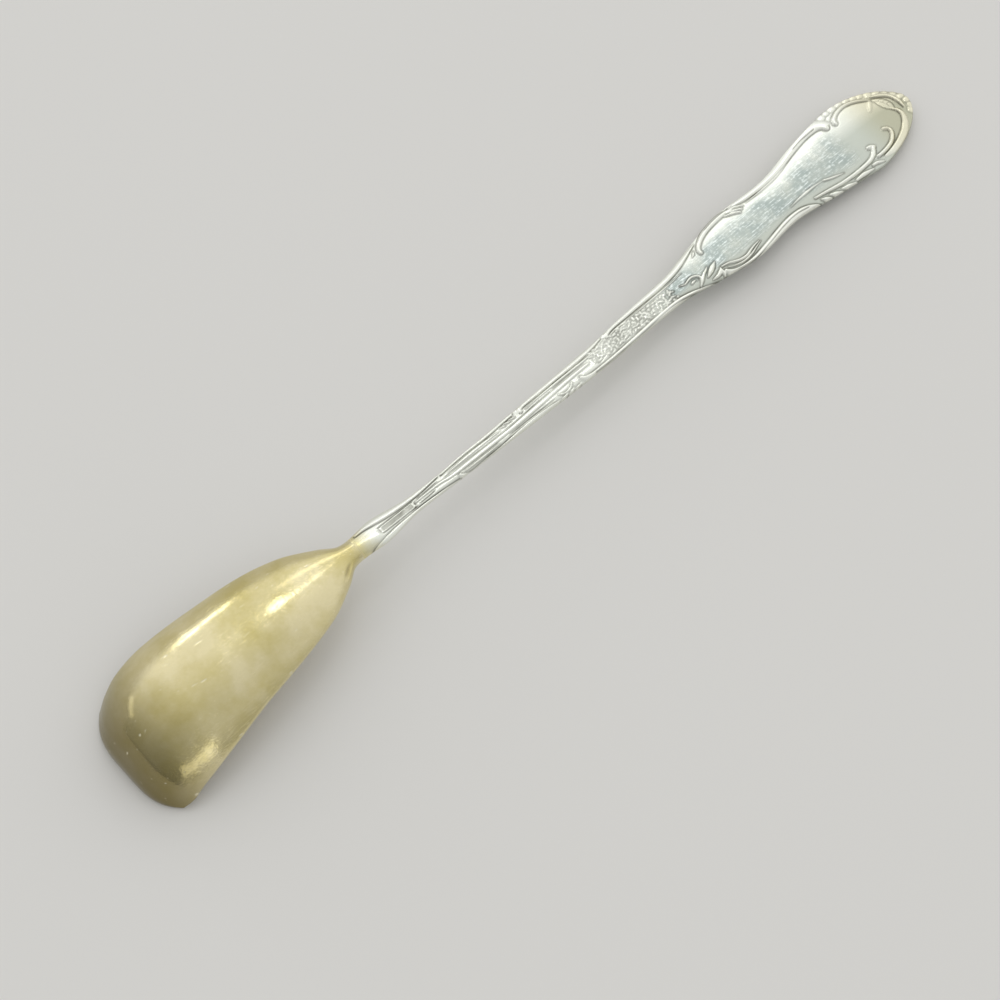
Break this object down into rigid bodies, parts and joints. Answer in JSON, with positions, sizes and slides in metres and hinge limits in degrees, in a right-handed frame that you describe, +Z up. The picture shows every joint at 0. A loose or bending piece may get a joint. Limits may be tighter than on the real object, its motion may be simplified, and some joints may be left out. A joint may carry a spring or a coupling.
{
  "type": "horseradish spoon",
  "caption": "Small silver serving spoon with a gilt blunt-tipped scoop bowl, a soldered neck and a slim scroll-bordered handle, lying face down.",
  "frame": {"origin": "centre of the bounding box's footprint on the table, with the spoon lying face down", "axes": "+X along the spoon from the bowl's tip to the handle's end, +Z up, away from the table, out of the spoon's back"},
  "size_m": [0.154, 0.0202, 0.0114],
  "materials": {
    "gilt_silver": "worn pale gold wash over silver, soft gloss",
    "silver_solder": "dressed silver solder, slightly duller than the silver",
    "struck_silver": "polished sterling silver, worn, with dark recesses"
  },
  "bodies": {
    "root": {"bowl": "gilt_silver", "solder_seam": "silver_solder", "handle": "struck_silver"}
  },
  "joints": []
}
